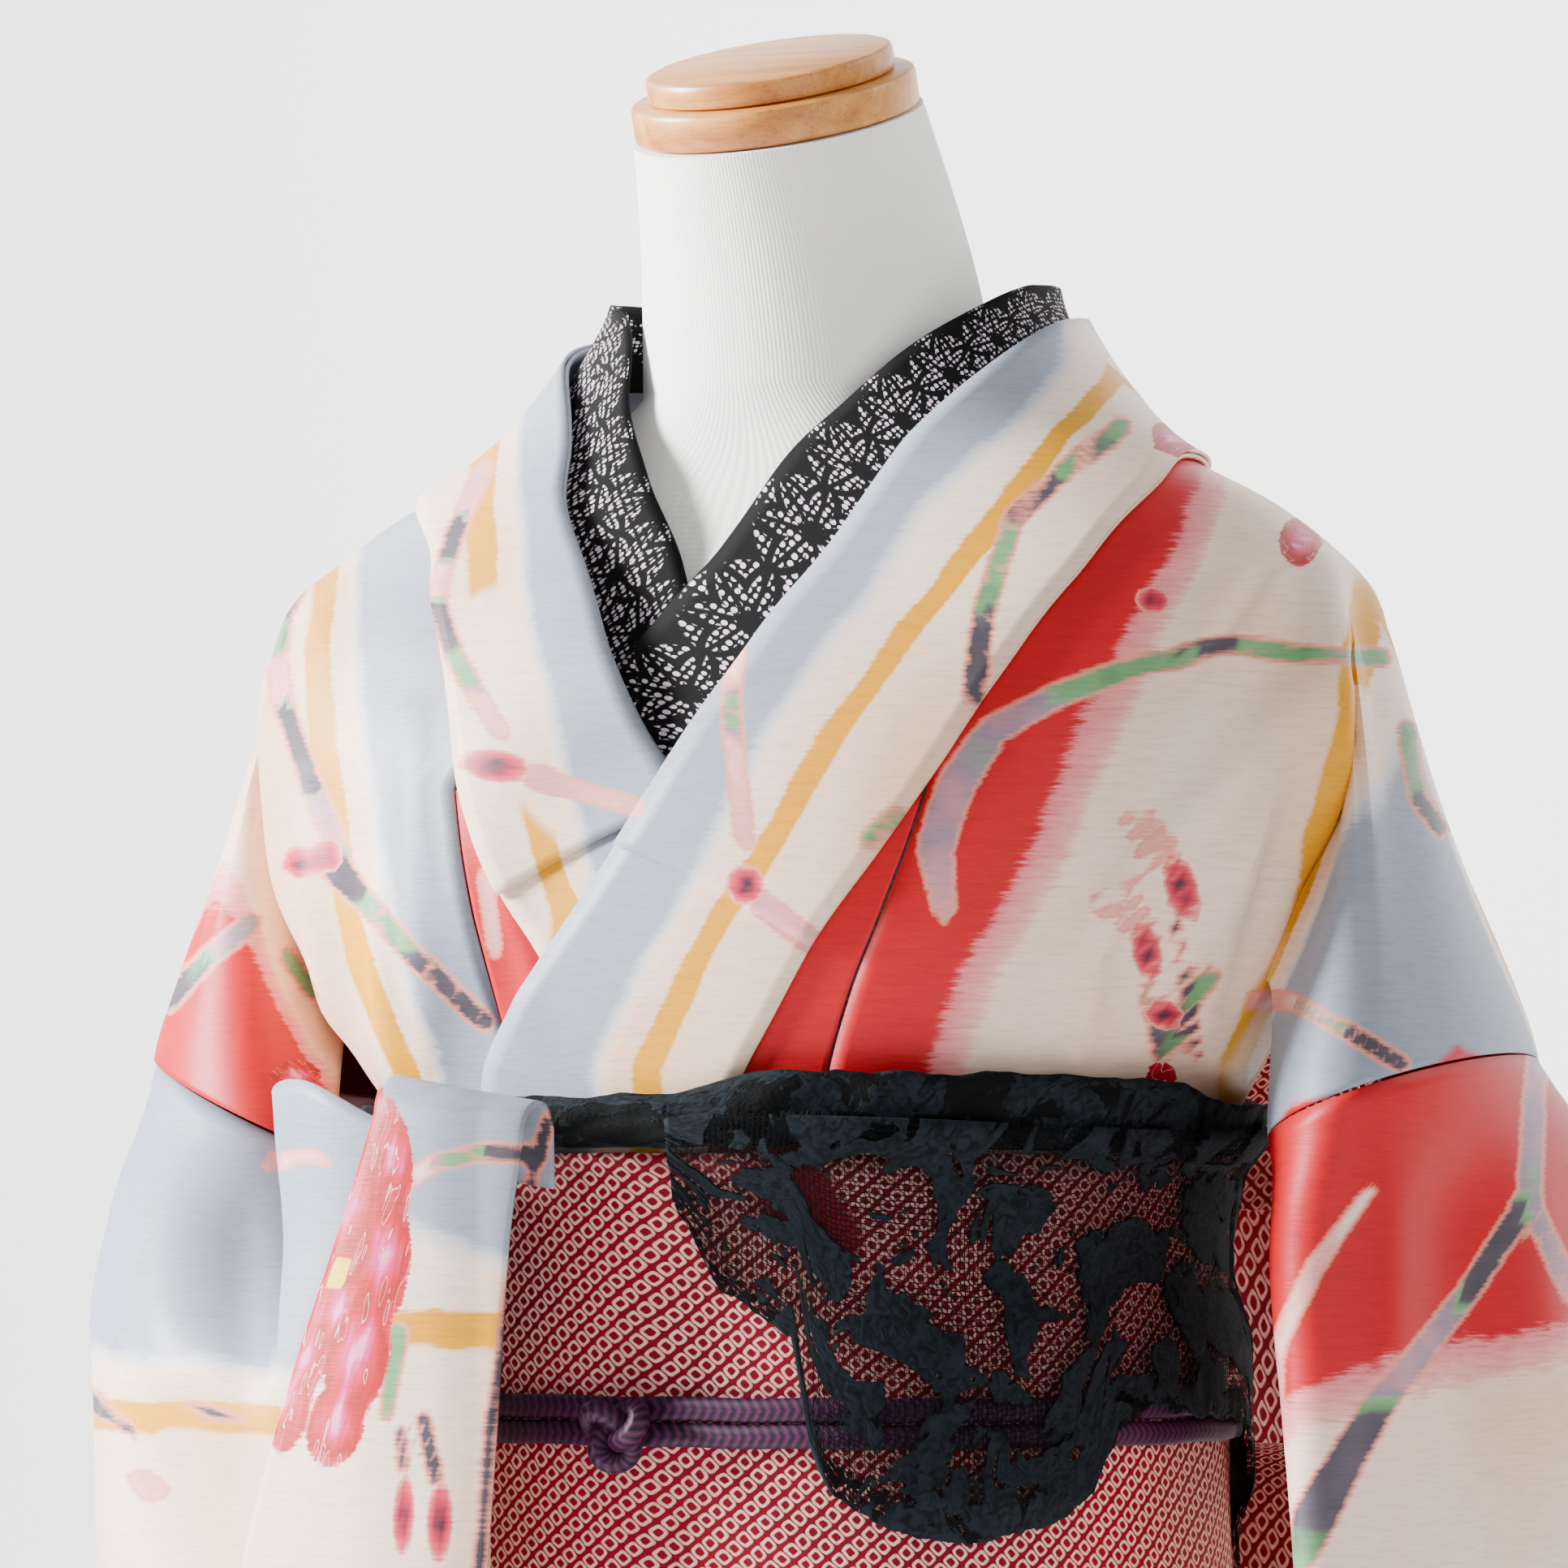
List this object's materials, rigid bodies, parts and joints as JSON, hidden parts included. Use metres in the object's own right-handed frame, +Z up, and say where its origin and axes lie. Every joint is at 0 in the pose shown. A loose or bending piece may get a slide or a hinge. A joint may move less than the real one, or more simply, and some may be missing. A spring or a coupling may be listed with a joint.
{
  "type": "kimono on a dress form",
  "caption": "Lined silk kimono worn closed by a tied sash on a limbless dress form, with a lace inner collar, a scarf and a braided cord, one sleeve turned up across the sash.",
  "frame": {"origin": "centre of the round foot, on the floor", "axes": "+Z up, the form faces -Y, the wearer's left is +X"},
  "size_m": [0.5696, 0.4803, 1.4649],
  "materials": {
    "patterned_silk": "smooth lined silk, cream with red, pink, yellow and blue-grey woven stripes and flowers",
    "red_silk": "smooth lined silk, red with pale vines",
    "black_lace": "soft black floral lace",
    "dyed_sash": "crimson crepe with rows of small pale tie-dyed rings",
    "purple_braid": "flat silk braid, dark purple chevrons",
    "white_knit": "matt white stretch knit",
    "pale_wood": "satin varnished pale wood",
    "steel_pole": "satin steel"
  },
  "bodies": {
    "root": {"body_panel_left": "patterned_silk", "body_panel_right": "patterned_silk", "overlap_panel_left": "red_silk", "overlap_panel_right": "red_silk", "collar": "patterned_silk", "collar_cover": "patterned_silk", "lace_collar": "black_lace", "sleeve_left": "patterned_silk", "sleeve_right": "patterned_silk", "sleeve_turned_end": "patterned_silk", "sash_band": "dyed_sash", "sash_drum": "dyed_sash", "sash_hand": "dyed_sash", "scarf_roll": "black_lace", "scarf_fall": "black_lace", "sash_cord": "purple_braid", "sash_cord_knot": "purple_braid", "form_body": "white_knit", "cap_lower": "pale_wood", "cap_upper": "pale_wood", "foot": "pale_wood", "pole": "steel_pole"}
  },
  "joints": []
}
